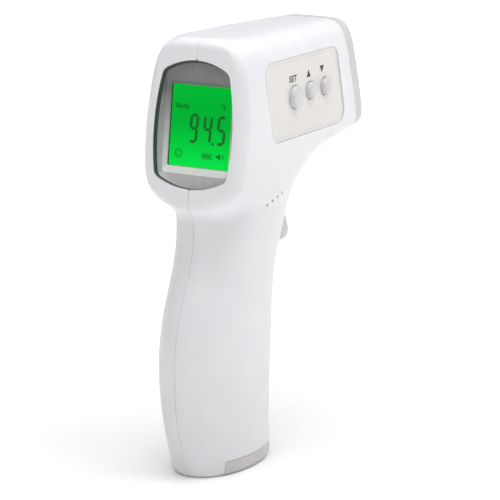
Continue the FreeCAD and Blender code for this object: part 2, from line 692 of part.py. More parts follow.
def trigger():
    """A bent lever on its pin: a hub inside the neck and a rounded finger piece in front of it."""
    x, z = size("pivot_x"), size("pivot_z")
    half = size("trigger_width") / 2

    def point(dx, dz):
        return Vector(x + dx, -half, z + dz)

    finger = [Part.makeLine(point(-2.2, -1.4), point(-3.2, -4.5)),
              Part.makeLine(point(-3.2, -4.5), point(-3.2, -14.5)),
              Part.makeLine(point(-3.2, -14.5), point(-1.5, -16.4)),
              Part.makeLine(point(-1.5, -16.4), point(6.8, -16.0)),
              Part.Arc(point(6.8, -16.0), point(9.9, -13.6), point(9.6, -10.2)).toShape(),
              Part.makeLine(point(9.6, -10.2), point(6.8, -3.3)),
              Part.makeLine(point(6.8, -3.3), point(1.2, -3.3)),
              Part.makeLine(point(1.2, -3.3), point(1.2, -1.4)),
              Part.makeLine(point(1.2, -1.4), point(-2.2, -1.4))]
    body = Part.Face(Part.Wire(finger)).extrude(Vector(0, 2 * half, 0))
    front = [edge for edge in body.Edges
             if min(p.x for p in span(edge)) > x + 4.0 and abs(abs(span(edge)[3].y) - half) < 1e-6]
    body = body.makeFillet(size("trigger_round"), front)
    body = body.fuse(bar(size("hub_radius"), (x, -half, z), (x, half, z)))
    hollow = slab((x - 1.6, -half + 1.6, z - 13.5), (x + 4.0, half - 1.6, z - 4.5))
    bore = bar(size("pin_radius") + 0.07, (x, -20, z), (x, 20, z))
    solid_part("trigger", body.cut([hollow, bore]))
    pin = turned([(0, 0), ("pin_radius", 0), ("pin_radius", "pin_length"), (0, "pin_length")])
    sub_part("trigger_pin", pin, Placement(Vector(x, size("pin_length") / 2, z), RIGHTWARD))

    board_x = TRIGGER_BOARD_X
    board = box(("1.5", "12", "14"), (board_x + 0.75, "0", "plunger_z"))
    sub_part("trigger_board", group(board))
    place = Placement(Vector(board_x + 1.5, 0, size("plunger_z")), FORWARD)
    housing = box(("switch_side", "switch_side", "switch_height"), ("0", "0", "switch_height / 2"))
    well = rod("plunger_radius + 0.15", "3", ("0", "0", "switch_height - 2.6"))
    sub_part("trigger_switch", cut(housing, well), place)
    reach = "pivot_x - 3.2 - %s" % (board_x + 1.5 + 0.05)
    plunger = turned([(0, "switch_height - 1.4"), ("plunger_radius", "switch_height - 1.4"),
                      ("plunger_radius", reach), (0, reach)])
    sub_part("trigger_plunger", plunger, place)


# ---------------------------------------------------------------- sensor and buzzer

def sensor():
    cone = turned([("4.2", "74"), ("9", "74"), ("cone_radius", "78"), ("cone_radius", "95"),
                   ("10.4", "95"), ("10.4", "89"), ("9.6", "87")])
    doc.recompute()
    tip = size("muzzle_x") - 0.8
    funnel = placed(cone.Shape, SENSOR).common(nose_plane(tip))
    doc.removeObject(cone.Name)
    solid_part("reflector_cone", funnel)
    housing = turned([("4.7", "62"), ("barrel_radius", "62"), ("barrel_radius", "74"), ("4.2", "74"),
                      ("4.2", "72"), ("4.7", "72")])
    sub_part("sensor_housing", housing, SENSOR)
    can = turned([(0, "65.6"), ("4.6", "65.6"), ("4.6", "66.2"), ("can_radius", "66.2"), ("can_radius", "70.8"),
                  ("2.7", "70.8"), ("2.7", "70.2"), (0, "70.2")])
    sub_part("sensor_can", can, SENSOR)
    window = turned([(0, "70.2"), ("2.65", "70.2"), ("2.65", "70.7"), (0, "70.7")])
    sub_part("sensor_window", window, SENSOR)
    board = turned([(0, "60.4"), ("7", "60.4"), ("7", "62"), (0, "62")])
    sub_part("sensor_board", board, SENSOR)
    sounder = turned([(0, 0), ("6", 0), ("6", "4.2"), ("1.2", "4.2"), ("1.2", "3.2"), (0, "3.2")])
    sub_part("buzzer", sounder, Placement(BUZZER, RIGHTWARD))


# ---------------------------------------------------------------- battery bay

def battery_bay():
    tray = box(("tray_depth", "tray_width", "tray_top - tray_foot"),
               ("cell_x", "0", "(tray_top + tray_foot) / 2"))
    wells = [rod("cell_radius + 0.15", "cell_length + 1.9", ("cell_x", "%scell_y" % sign, "cell_foot"))
             for sign in ("-", "")]
    sub_part("battery_tray", cut(rounded_upright(tray, "tray_round"), *wells))
    for label, side, turn in (("battery_left", 1, 0), ("battery_right", -1, 180)):
        cell = turned([(0, 0), ("cell_radius", 0), ("cell_radius", "cell_length - 1"),
                       ("1.9", "cell_length - 1"), ("1.9", "cell_length"), (0, "cell_length")],
                      rounding=(0.4, 0))
        height = size("cell_foot") + (size("cell_length") if turn else 0)
        sub_part(label, cell, Placement(Vector(size("cell_x"), side * size("cell_y"), height),
                                        Rotation(Vector(1, 0, 0), turn)))
    roof = "cell_foot + cell_length + 1.9"
    plates = [box(("7", "7", "0.4"), ("cell_x", "%scell_y" % sign, roof + " - 0.2")) for sign in ("-", "")]
    sub_part("battery_contacts", group(*plates))
    coil = Part.makeHelix(0.51, 1.02, 3.4)
    section_circle = Part.Wire(Part.makeCircle(0.18, Vector(3.4, 0, 0), Vector(0, 1, 0.02)))
    spring = Part.Wire(coil).makePipeShell([section_circle], True, False)
    spring.translate(Vector(size("cell_x"), -size("cell_y"), size("cell_foot") + size("cell_length") + 0.2))
    solid_part("battery_spring", spring)
    strip_z = "foot_z + door_floor"
    strip = box(("7", "18", "0.4"), ("cell_x", "0", strip_z + " + 0.2"))
    domes = [turned_dome(sign, strip_z) for sign in ("-", "")]
    sub_part("battery_bridge", fuse(strip, *domes))


def turned_dome(sign, strip_z):
    dome = doc.addObject("Part::Cone", "Dome")
    bind(dome, "Radius1", "2.6")
    bind(dome, "Radius2", "1.4")
    bind(dome, "Height", "cell_foot - 0.45 - (%s + 0.3)" % strip_z)
    for axis, value in zip("xyz", ("cell_x", sign + "cell_y", strip_z + " + 0.3")):
        bind(dome, "Placement.Base." + axis, value)
    return dome


def battery_door():
    """The foot's front part: a floor, low walls in line with the casing, and two channels."""
    gap = size("door_gap")
    keep = slab((size("door_x") + gap, -60, -130), (80, 0, size("door_top") - gap))
    half = half_skin(0)
    foot = Vector(0, 0, size("foot_z"))
    half = half.makeFillet(size("foot_round"), edges_on(half, foot, Vector(0, 0, 1))).common(keep)
    floor_top = size("foot_z") + size("door_floor")
    room = half_skin(1.8).common(slab((-60, -60, floor_top), (80, 0, 0)))
    half = half.cut(room)
    channel = slab((22, -3.5, floor_top - 0.1), (35, -2.65, -115.4))
    hook = slab((22, -3.5, -116.5), (35, -1.3, -115.4))
    half = half.fuse([channel.fuse(hook).common(half_skin(0.9))])
    solid_part("battery_door", half.fuse(mirrored(half)).removeSplitter())


# ---------------------------------------------------------------- screws and wires

def shell_screws():
    screws = []
    for x, z in SHELL_SCREWS:
        head = rod("screw_head", "1.6", (x, SCREW_HEAD_Y + 1.6, z), RIGHTWARD)
        shank = rod("screw_radius", "13.2", (x, SCREW_HEAD_Y, z), RIGHTWARD)
        screws.append(fuse(head, shank))
    sub_part("shell_screws", group(*screws))


def lead(points, radius):
    """A round wire: straight runs joined by tangent arcs, each as large as its two runs allow."""
    points = [Vector(*point) for point in points]
    edges = []
    start = points[0]
    for before, corner, after in zip(points, points[1:], points[2:]):
        arriving = (corner - before).normalize()
        leaving = (after - corner).normalize()
        half_turn = arriving.getAngle(leaving) / 2
        setback = 0.45 * min((corner - before).Length, (after - corner).Length)
        bend = setback / math.tan(half_turn)
        first = corner - arriving * setback
        last = corner + leaving * setback
        inwards = (leaving - arriving).normalize()
        middle = corner + inwards * (bend / math.cos(half_turn) - bend)
        edges.append(Part.makeLine(start, first))
        edges.append(Part.Arc(first, middle, last).toShape())
        start = last
    edges.append(Part.makeLine(start, points[-1]))
    path = Part.Wire(edges)
    circle = Part.makeCircle(radius, points[0], points[1] - points[0])
    return path.makePipeShell([Part.Wire(circle)], True, False)


def wires():
    thin, thick = size("wire_radius"), size("cable_radius")
    tray_top = size("tray_top") + 0.1
    solid_part("battery_lead_red", lead([(14.7, 5.4, tray_top), (14.7, 5.4, -60), (22.5, 3.5, -50),
                                         (23.5, 3.0, -36), (19, 3.0, -25), (10.45, 3.0, -20.6)], thin))
    solid_part("battery_lead_black", lead([(14.7, -5.4, tray_top), (14.7, -5.4, -60), (22.5, -3.5, -50),
                                           (23.5, -3.0, -36), (19, -1.0, -25), (10.45, -1.0, -20.6)], thin))
    solid_part("trigger_cable", lead([(32.4, 0, -41.5), (28, 0, -40), (27.5, 0.5, -30), (20, 0.5, -19),
                                      (11.4, 0.5, -15.2)], thick))
    solid_part("sensor_cable", lead([(60.0, 0, 3.2), (50, 0, 1), (38, 2, -4), (26, 2, -6),
                                     (12.5, 2.0, -5.5)], thick))
    solid_part("key_cable", lead([(45, -7.7, 4), (44.6, -3.5, 5), (36, 1, 10), (25, 3.5, 12.5),
                                  (15.0, 3.6, 14.2)], thick))
    buzzer_wires = [lead([(26.5 + dx, -8.4, -27.6), (26 + dx, -5.2, -23), (20 + dx, -4.6, -16),
                          (11.5 + 0.1 * dx, -4.6 - dx, -13.6)], 0.45) for dx in (-2.0, 2.0)]
    solid_part("buzzer_leads", Part.makeCompound(buzzer_wires))


shells()
nose_cap()
display_bezel()
display_stack()
main_board()
side_keys()
trigger()
sensor()
battery_bay()
battery_door()
shell_screws()
wires()
doc.recompute()

problems = []
for obj in doc.Objects:
    if "Invalid" in obj.State or "Error" in obj.State:
        problems.append("%s: %s" % (obj.Name, obj.State))
for obj in SUB_PARTS:
    if obj.Shape.isNull() or not obj.Shape.isValid() or not obj.Shape.Solids:
        problems.append("%s has no valid solid" % obj.Label)
if problems:
    raise RuntimeError("; ".join(problems))

os.makedirs("parts", exist_ok=True)
for obj in SUB_PARTS:
    obj.Shape.exportStep("parts/%s.step" % obj.Label)
    print("%-20s %d solids, %9.1f mm3" % (obj.Label, len(obj.Shape.Solids), obj.Shape.Volume))
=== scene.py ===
import json
import math

import bmesh
import bpy
from mathutils import Matrix, Vector


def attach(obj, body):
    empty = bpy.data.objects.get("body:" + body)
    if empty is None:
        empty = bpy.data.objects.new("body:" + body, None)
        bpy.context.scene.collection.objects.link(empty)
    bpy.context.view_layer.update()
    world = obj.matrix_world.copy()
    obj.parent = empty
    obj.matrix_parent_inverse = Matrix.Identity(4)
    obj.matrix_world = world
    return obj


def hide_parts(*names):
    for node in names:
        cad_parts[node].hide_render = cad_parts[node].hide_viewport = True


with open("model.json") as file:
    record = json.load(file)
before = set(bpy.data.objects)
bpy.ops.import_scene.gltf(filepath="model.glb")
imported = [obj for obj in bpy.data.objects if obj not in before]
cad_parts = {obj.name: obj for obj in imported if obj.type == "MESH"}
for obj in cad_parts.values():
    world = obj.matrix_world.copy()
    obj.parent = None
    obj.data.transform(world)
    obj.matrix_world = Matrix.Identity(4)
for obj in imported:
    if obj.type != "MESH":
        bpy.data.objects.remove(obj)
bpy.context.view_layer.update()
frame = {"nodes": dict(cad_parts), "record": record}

# Gun-shaped infrared forehead thermometer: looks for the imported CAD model, and the display's surround,
# the display's content, the keys and the prints in finer shape.  Lengths are written in millimetres and
# turned to metres by MM; only the floor and the lights are written in metres.

MM = 0.001
NODES = frame["nodes"]

# The CAD model is drawn about a datum: the middle of the display opening on the display's rim plane.
DATUM = Vector((-39.568, 0, 120.5))
DISPLAY_TILT = math.radians(7.26)
HEAD_TAPER = math.radians(3.2)
PANEL_LEAN = math.radians(1.5)
PANEL_ORIGIN = Vector((44.4, -17.4, 5.95))
GLASS_DEPTH = 5.45               # the display glass's face, behind the rim plane
VIEW_HALF_WIDTH, VIEW_TOP, VIEW_FOOT = 11.95, 13.0, -14.3        # the visible part of the glass
SMOOTH_BELOW = math.radians(35)  # edges that turn less than this are shaded smooth


def display_frame():
    """Looking at the display: x to the right, y up, z out of its face, in millimetres."""
    sine, cosine = math.sin(DISPLAY_TILT), math.cos(DISPLAY_TILT)
    turn = Matrix(((0, sine, -cosine), (-1, 0, 0), (0, cosine, sine))).to_4x4()
    return Matrix.Scale(MM, 4) @ Matrix.Translation(DATUM) @ turn


def panel_frame():
    """Looking at the keys: x forward, y up, z out of the right side, in millimetres."""
    turn = (Matrix.Rotation(HEAD_TAPER, 4, "Z") @ Matrix.Rotation(-PANEL_LEAN, 4, "X")
            @ Matrix.Rotation(math.pi / 2, 4, "X"))
    return Matrix.Scale(MM, 4) @ Matrix.Translation(DATUM + PANEL_ORIGIN) @ turn


DISPLAY = display_frame()
PANEL = panel_frame()


# ---------------------------------------------------------------- materials

class Look:
    """A node material on one Principled shader, with short calls for its patterns."""

    def __init__(self, name, **sockets):
        self.material = bpy.data.materials.new(name)
        self.material.use_nodes = True
        self.tree = self.material.node_tree
        self.shader = self.tree.nodes["Principled BSDF"]
        self.place = self.tree.nodes.new("ShaderNodeTexCoord").outputs["Object"]
        for socket, value in sockets.items():
            self.shader.inputs[socket.replace("_", " ")].default_value = value

    def link(self, source, target):
        self.tree.links.new(source, target)

    def noise(self, size_mm, detail=3.0):
        """Noise whose blobs are about size_mm across."""
        node = self.tree.nodes.new("ShaderNodeTexNoise")
        node.inputs["Scale"].default_value = 1 / (size_mm * MM)
        node.inputs["Detail"].default_value = detail
        self.link(self.place, node.inputs["Vector"])
        return node.outputs["Fac"]

    def ranged(self, value, low, high, start=0.3, end=0.7):
        """The value's span from start to end, stretched to run from low to high."""
        node = self.tree.nodes.new("ShaderNodeMapRange")
        node.inputs["From Min"].default_value = start
        node.inputs["From Max"].default_value = end
        node.inputs["To Min"].default_value = low
        node.inputs["To Max"].default_value = high
        self.link(value, node.inputs["Value"])
        return node.outputs["Result"]

    def mixed(self, factor, first, second):
        """A colour between two, by the factor.  The Mix node's colour sockets come after its others."""
        node = self.tree.nodes.new("ShaderNodeMix")
        node.data_type = "RGBA"
        node.inputs[6].default_value = (*first, 1)
        node.inputs[7].default_value = (*second, 1)
        self.link(factor, node.inputs[0])
        return node.outputs[2]

    def colour(self, first, second, size_mm):
        """A base colour that drifts between two close ones."""
        drift = self.ranged(self.noise(size_mm), 0, 1)
        self.link(self.mixed(drift, first, second), self.shader.inputs["Base Color"])

    def roughness(self, low, high, size_mm):
        """Roughness that drifts between low and high."""
        self.link(self.ranged(self.noise(size_mm), low, high), self.shader.inputs["Roughness"])

    def bumps(self, *layers):
        """Fine relief from noise layers of (size_mm, depth_mm)."""
        normal = None
        for size_mm, depth_mm in layers:
            node = self.tree.nodes.new("ShaderNodeBump")
            node.inputs["Strength"].default_value = 1.0
            node.inputs["Distance"].default_value = depth_mm * MM
            self.link(self.noise(size_mm, detail=2.0), node.inputs["Height"])
            if normal is not None:
                self.link(normal, node.inputs["Normal"])
            normal = node.outputs["Normal"]
        self.link(normal, self.shader.inputs["Normal"])


def grey(value, warmth=0.0):
    """A near-neutral colour: warmth above 0 is yellower, below 0 bluer."""
    return (value * (1 + warmth), value, value * (1 - warmth))


PLASTIC_IOR = 1.53
MOULD_WAVE = (9, 0.02)           # size and depth of a moulding's soft unevenness


def moulded(name, low, high, rough, grain=0.35, depth=0.004):
    """Injection-moulded plastic: a faint drift of tone, a fine eroded grain and soft unevenness."""
    look = Look(name, IOR=PLASTIC_IOR)
    look.colour(low, high, 14)
    look.roughness(rough - 0.03, rough + 0.04, 6)
    look.bumps(MOULD_WAVE, (grain, depth))
    return look.material


def lacquered_board():
    """Green solder resist under a thin clear coat."""
    look = Look("circuit_board", Coat_Weight=0.5, Coat_Roughness=0.2)
    look.colour((0.015, 0.11, 0.04), (0.03, 0.17, 0.07), 3.0)
    look.roughness(0.35, 0.5, 1.5)
    look.bumps((0.6, 0.01))
    return look.material


def metal(name, low, high, rough):
    """Plated or spun metal, with a faint drift of tone and gloss."""
    look = Look(name, Metallic=1.0)
    look.colour(low, high, 2.5)
    look.roughness(rough - 0.04, rough + 0.05, 2.0)
    look.bumps((0.5, 0.0003))
    return look.material


GLOW_FOOT, GLOW_HEIGHT = -14.0, 27        # where the colours start, from the datum, and how far up they go
GLOW_STOPS = [(0.0, (0.0, 0.72, 0.055)), (0.18, (0.0, 0.58, 0.04)), (0.5, (0.0, 0.40, 0.026)),
              (0.75, (0.0, 0.40, 0.024)), (1.0, (0.0, 0.46, 0.03))]


def lit_display():
    """The green backlit glass: brightest at its lower edge, a little darker above the middle."""
    look = Look("display_glass", Roughness=0.12, Emission_Strength=1.0)
    nodes = look.tree.nodes
    mapping = nodes.new("ShaderNodeMapping")
    mapping.inputs["Location"].default_value = (0, 0, -(DATUM.z + GLOW_FOOT) / GLOW_HEIGHT)
    mapping.inputs["Scale"].default_value = (1, 1, 1 / (GLOW_HEIGHT * MM))
    look.link(look.place, mapping.inputs["Vector"])
    split = nodes.new("ShaderNodeSeparateXYZ")
    look.link(mapping.outputs["Vector"], split.inputs["Vector"])
    ramp = nodes.new("ShaderNodeValToRGB")
    while len(ramp.color_ramp.elements) < len(GLOW_STOPS):
        ramp.color_ramp.elements.new(0.5)
    for element, (position, colour) in zip(ramp.color_ramp.elements, GLOW_STOPS):
        element.position = position
        element.color = (*colour, 1)
    look.link(split.outputs["Z"], ramp.inputs["Fac"])
    look.link(ramp.outputs["Color"], look.shader.inputs["Emission Color"])
    look.colour((0.0, 0.05, 0.01), (0.0, 0.07, 0.015), 5)
    return look.material


def shade_graded_grey(name, top, foot):
    """The display's surround: satin grey plastic whose colour carries painted shade, darker towards its
    top and lighter towards its foot, where the top light falls.
    """
    look = Look(name, IOR=PLASTIC_IOR)
    split = look.tree.nodes.new("ShaderNodeSeparateXYZ")
    look.link(look.place, split.inputs["Vector"])
    high, low = (DATUM.z + VIEW_TOP) * MM, (DATUM.z + VIEW_FOOT) * MM
    # Painted shade: the base colour runs from the dark top tone at the view's top to the light foot tone
    # at its foot.
    tone = look.ranged(split.outputs["Z"], 1.0, 0.0, low, high)
    drift = look.ranged(look.noise(8), -0.06, 0.06)
    total = look.tree.nodes.new("ShaderNodeMath")
    look.link(tone, total.inputs[0])
    look.link(drift, total.inputs[1])
    look.link(look.mixed(total.outputs[0], grey(top), grey(foot)), look.shader.inputs["Base Color"])
    look.roughness(0.27, 0.34, 6)
    look.bumps(MOULD_WAVE, (0.6, 0.003))
    return look.material


def printed_ink(name, colour, glow=0.0):
    """Dull ink of a finely uneven tone; glow is the light that comes through it from behind."""
    look = Look(name, Specular_IOR_Level=0.2, Emission_Strength=glow)
    look.shader.inputs["Emission Color"].default_value = (*colour, 1)
    look.colour(colour, tuple(c * 1.4 + 0.004 for c in colour), 0.4)
    look.roughness(0.35, 0.5, 0.5)
    look.bumps((0.15, 0.002))
    return look.material


def jacket():
    """A plain dark battery sleeve with a glossy film over it."""
    look = Look("cell_jacket", Metallic=0.6, Coat_Weight=0.6, Coat_Roughness=0.1)
    look.colour((0.03, 0.045, 0.08), (0.05, 0.07, 0.12), 4)
    look.roughness(0.2, 0.32, 2.0)
    look.bumps((3.0, 0.01))
    return look.material


LOOKS = {
    "white_shell": moulded("white_shell", (0.79, 0.785, 0.815), (0.82, 0.815, 0.845), 0.36),
    "grey_trim": moulded("grey_trim", grey(0.58, 0.02), grey(0.62, 0.02), 0.42),
    # The surround's grey carries painted shade: darker at its top, lighter at its foot.
    "bezel_grey": shade_graded_grey("bezel_grey", 0.17, 0.47),
    "label_film": moulded("label_film", grey(0.69, 0.035), grey(0.72, 0.035), 0.30, 0.6, 0.002),
    "key_plastic": moulded("key_plastic", grey(0.60), grey(0.64), 0.30, 0.6, 0.002),
    "display_glass": lit_display(),
    "light_guide": moulded("light_guide", (0.6, 0.8, 0.6), (0.65, 0.85, 0.65), 0.2, 0.5, 0.002),
    "white_nylon": moulded("white_nylon", grey(0.74, 0.02), grey(0.78, 0.02), 0.5),
    "elastomer": moulded("elastomer", (0.45, 0.18, 0.25), (0.5, 0.2, 0.28), 0.7, 0.3, 0.01),
    "circuit_board": lacquered_board(),
    "black_plastic": moulded("black_plastic", grey(0.02), grey(0.03), 0.5, 0.2, 0.006),
    "steel": metal("steel", grey(0.5), grey(0.6), 0.3),
    "cell_jacket": jacket(),
    "cone_metal": metal("cone_metal", grey(0.66), grey(0.7), 0.34),
    "sensor_filter": moulded("sensor_filter", (0.02, 0.015, 0.03), (0.03, 0.02, 0.04), 0.12),
    "red_wire": moulded("red_wire", (0.35, 0.01, 0.01), (0.4, 0.015, 0.012), 0.4, 0.4, 0.01),
    "black_wire": moulded("black_wire", grey(0.015), grey(0.02), 0.4, 0.4, 0.01),
    "grey_cable": moulded("grey_cable", grey(0.2), grey(0.24), 0.45, 0.4, 0.01),
}
# Near-black grey for the surround's walls: painted shade and painted reflection where the opening's walls
# and the step to the glass lie in shadow.
WALL_PAINTED_SHADE = moulded("wall_painted_shade", grey(0.05), grey(0.065), 0.25, 0.6, 0.003)
# The bevel round the glass: painted shade at its top and a painted highlight at its foot, where it faces
# the top light.
BEVEL_PAINTED_SHADE = shade_graded_grey("bevel_painted_shade", 0.16, 0.74)
BORDER_INK = printed_ink("border_ink", grey(0.5))
DARK_INK = printed_ink("dark_ink", (0.03, 0.03, 0.035))
SEGMENT_INK = printed_ink("segment_ink", (0.0, 0.08, 0.006), 0.8)


def dress_cad():
    """Each CAD node takes the look of its record's material slot."""
    for part in frame["record"]["subparts"]:
        node = NODES[part["node"]]
        node.data.materials.clear()
        node.data.materials.append(LOOKS[part["material_slot"]])


# ---------------------------------------------------------------- mesh helpers

def linked(name, data):
    """A new object in the scene."""
    obj = bpy.data.objects.new(name, data)
    bpy.context.scene.collection.objects.link(obj)
    return obj


def finished_mesh(name, build, smooth):
    """The mesh of a bmesh that is done, with its faces turned outwards."""
    bmesh.ops.recalc_face_normals(build, faces=build.faces)
    mesh = bpy.data.meshes.new(name)
    build.to_mesh(mesh)
    build.free()
    if smooth:
        for face in mesh.polygons:
            face.use_smooth = True
        mesh.set_sharp_from_angle(angle=SMOOTH_BELOW)
    return mesh


def piece(name, mesh, look, body="root"):
    """A finished piece with its look, riding on a CAD body."""
    obj = linked(name, mesh)
    mesh.materials.append(look)
    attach(obj, body)
    return obj


def plates(name, outlines, place, low, high):
    """A mesh of flat plates: closed outlines of (x, y) points, raised from low to high."""
    build = bmesh.new()
    for outline in outlines:
        bottom = [build.verts.new(place @ Vector((x, y, low))) for x, y in outline]
        top = [build.verts.new(place @ Vector((x, y, high))) for x, y in outline]
        build.faces.new(top)
        build.faces.new(list(reversed(bottom)))
        count = len(outline)
        for i in range(count):
            j = (i + 1) % count
            build.faces.new((bottom[i], bottom[j], top[j], top[i]))
    return finished_mesh(name, build, smooth=False)


def ring_plates(cx, cy, inner, outer, start=0.0, end=2 * math.pi, steps=24):
    """An arc of a ring as small four-cornered plates."""
    outlines = []
    for k in range(steps):
        first = start + (end - start) * k / steps
        last = start + (end - start) * (k + 1) / steps
        outlines.append([(cx + r * math.cos(t), cy + r * math.sin(t))
                         for r, t in ((inner, first), (outer, first), (outer, last), (inner, last))])
    return outlines


def box_plate(left, bottom, right, top):
    """The outline of an upright rectangle."""
    return [(left, bottom), (right, bottom), (right, top), (left, top)]


LETTER_THICKNESS = 0.04
LETTER_SPACING = 1.06


def lettering(name, text, place, size, stretch, spot, look, bold):
    """Generic lettering as thin plates; spot is its lower left corner, at half their thickness."""
    curve = bpy.data.curves.new(name, "FONT")
    curve.body = text
    curve.size = size
    curve.extrude = LETTER_THICKNESS / 2
    curve.offset = bold
    curve.space_character = LETTER_SPACING
    maker = linked(name + "_maker", curve)
    bpy.context.view_layer.update()
    mesh = bpy.data.meshes.new_from_object(maker)
    bpy.data.objects.remove(maker)
    bpy.data.curves.remove(curve)
    mesh.name = name
    move = Matrix.Translation(Vector(spot)) @ Matrix.Diagonal((stretch, 1, 1, 1))
    mesh.transform(place @ move)
    piece(name, mesh, look)


# ---------------------------------------------------------------- the display's surround

CORNER_STEPS, SIDE_STEPS = 8, 16
OPENING_ROUND = 3.2
OPENING_CORNERS = [(12.9, 17.6), (-12.9, 17.6), (-14.2, -17.6), (14.2, -17.6)]
OPENING_SIDES = [(15.45, -2), (0, 21.4), (-15.45, -2), (0, -21.4)]      # side i ends at corner i
BEZEL_POSTS = [(x, y) for x in (-7.5, 7.5) for y in (-20.2, 19.0)]
POST_RADIUS, POST_TOP, POST_FOOT = 1.9, -3.3, -11.2
OUTER_WALL, BEVEL, INNER_WALL = 0, 4, 6     # the rings that start these bands, counted from the opening


def circle_through(first, middle, last):
    """Centre and radius of the circle through three points."""
    (ax, ay), (bx, by), (cx, cy) = first, middle, last
    twice_area = 2 * (ax * (by - cy) + bx * (cy - ay) + cx * (ay - by))
    a2, b2, c2 = ax * ax + ay * ay, bx * bx + by * by, cx * cx + cy * cy
    centre = Vector(((a2 * (by - cy) + b2 * (cy - ay) + c2 * (ay - by)) / twice_area,
                     (a2 * (cx - bx) + b2 * (ax - cx) + c2 * (bx - ax)) / twice_area))
    return centre, (Vector(middle) - centre).length


def rounding_centre(before, after, corner):
    """The centre of the rounding that touches the circles of two neighbouring sides inside."""
    (first, first_radius), (second, second_radius) = before, after
    first_radius -= OPENING_ROUND
    second_radius -= OPENING_ROUND
    apart = second - first
    along = (first_radius ** 2 - second_radius ** 2 + apart.length_squared) / (2 * apart.length)
    aside = math.sqrt(first_radius ** 2 - along ** 2)
    middle = first + apart.normalized() * along
    sideways = Vector((-apart.y, apart.x)).normalized() * aside
    spots = (middle + sideways, middle - sideways)
    return min(spots, key=lambda spot: (spot - Vector(corner)).length)


def arc_points(centre, radius, start, end, steps, ends):
    """Points on the short arc between two directions, with or without its ends."""
    turn = (end - start + math.pi) % (2 * math.pi) - math.pi
    shares = [k / steps for k in (range(steps + 1) if ends else range(1, steps))]
    return [(centre.x + radius * math.cos(start + turn * share),
             centre.y + radius * math.sin(start + turn * share)) for share in shares]


def bearing(start, end):
    """The direction from one point to another, as an angle."""
    return math.atan2(end.y - start.y, end.x - start.x)


def opening_ring(inset):
    """The opening's outline moved in by inset: four bowed sides and four rounded corners."""
    count = len(OPENING_CORNERS)
    sides = [circle_through(OPENING_CORNERS[i - 1], OPENING_SIDES[i], OPENING_CORNERS[i])
             for i in range(count)]
    centres = [rounding_centre(sides[i], sides[(i + 1) % count], OPENING_CORNERS[i])
               for i in range(count)]
    points = []
    for i in range(count):
        before, (after, reach) = sides[i][0], sides[(i + 1) % count]
        points += arc_points(centres[i], OPENING_ROUND - inset, bearing(before, centres[i]),
                             bearing(after, centres[i]), CORNER_STEPS, True)
        points += arc_points(after, reach - inset, bearing(after, centres[i]),
                             bearing(after, centres[(i + 1) % count]), SIDE_STEPS, False)
    return points


def view_ring(side, top, foot, rounding):
    """A rounded rectangle round the visible glass, grown by side, top and foot."""
    right = VIEW_HALF_WIDTH + side - rounding
    high, low = VIEW_TOP + top - rounding, VIEW_FOOT - foot + rounding
    centres = [Vector(spot) for spot in ((right, high), (-right, high), (-right, low), (right, low))]
    points = []
    for i, centre in enumerate(centres):
        first, last = i * math.pi / 2, (i + 1) * math.pi / 2
        corner = arc_points(centre, rounding, first, last, CORNER_STEPS, True)
        points += corner
        start = Vector(corner[-1])
        end = centres[(i + 1) % 4] + Vector((rounding * math.cos(last), rounding * math.sin(last)))
        points += [tuple(start.lerp(end, k / SIDE_STEPS)) for k in range(1, SIDE_STEPS)]
    return points


def lowered(points, distance):
    """An outline moved down the display."""
    return [(x, y - distance) for x, y in points]


def surround_rings():
    """(outline, height) of each ring: in over the front to the glass, then out again round the back."""
    dish = [(opening_ring(0.12), -0.3), (lowered(opening_ring(0.55), 0.25), -1.9),
            (lowered(opening_ring(0.9), 0.25), -2.25), (view_ring(1.5, 1.3, 2.7, 2.0), -2.9)]
    bevel = [(view_ring(1.2, 1.0, 2.4, 1.8), -3.15), (view_ring(0.12, 0.12, 0.15, 0.7), -4.45)]
    inner_wall = [(view_ring(0, 0, 0, 0.6), -4.6), (view_ring(0, 0, 0, 0.6), -5.4)]
    back = [(view_ring(1.3, 1.3, 1.3, 0.8), -5.4), (view_ring(1.3, 1.3, 1.3, 0.8), -4.6),
            (opening_ring(-1.6), -3.6), (opening_ring(-1.6), -2.3), (opening_ring(0.12), -2.3)]
    return dish + bevel + inner_wall + back


def display_surround():
    """A closed ring: down from the opening, a shallow dish, a bevel to the glass, and round the back; its
    walls and bevel carry painted shade.
    """
    build = bmesh.new()
    loops = [[build.verts.new(DISPLAY @ Vector((x, y, height))) for x, y in ring]
             for ring, height in surround_rings()]
    for loop, following in zip(loops, loops[1:] + loops[:1]):
        count = len(loop)
        for i in range(count):
            j = (i + 1) % count
            build.faces.new((loop[i], loop[j], following[j], following[i]))
    for x, y in BEZEL_POSTS:
        middle = DISPLAY @ Matrix.Translation((x, y, (POST_TOP + POST_FOOT) / 2))
        bmesh.ops.create_cone(build, cap_ends=True, segments=24, radius1=POST_RADIUS,
                              radius2=POST_RADIUS, depth=POST_TOP - POST_FOOT, matrix=middle)
    mesh = finished_mesh("display_surround", build, smooth=True)
    surround = piece("display_surround", mesh, LOOKS["bezel_grey"])
    mesh.materials.append(WALL_PAINTED_SHADE)
    mesh.materials.append(BEVEL_PAINTED_SHADE)
    # The outer and inner walls take the near-black painted-shade grey; the bevel takes the grey with
    # painted shade at its top and a painted highlight at its foot.
    band = len(loops[0])
    for row, index in ((OUTER_WALL, 1), (INNER_WALL, 1), (BEVEL, 2)):
        for face in mesh.polygons[row * band:(row + 1) * band]:
            face.material_index = index
    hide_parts("display_bezel")


# ---------------------------------------------------------------- what the display shows

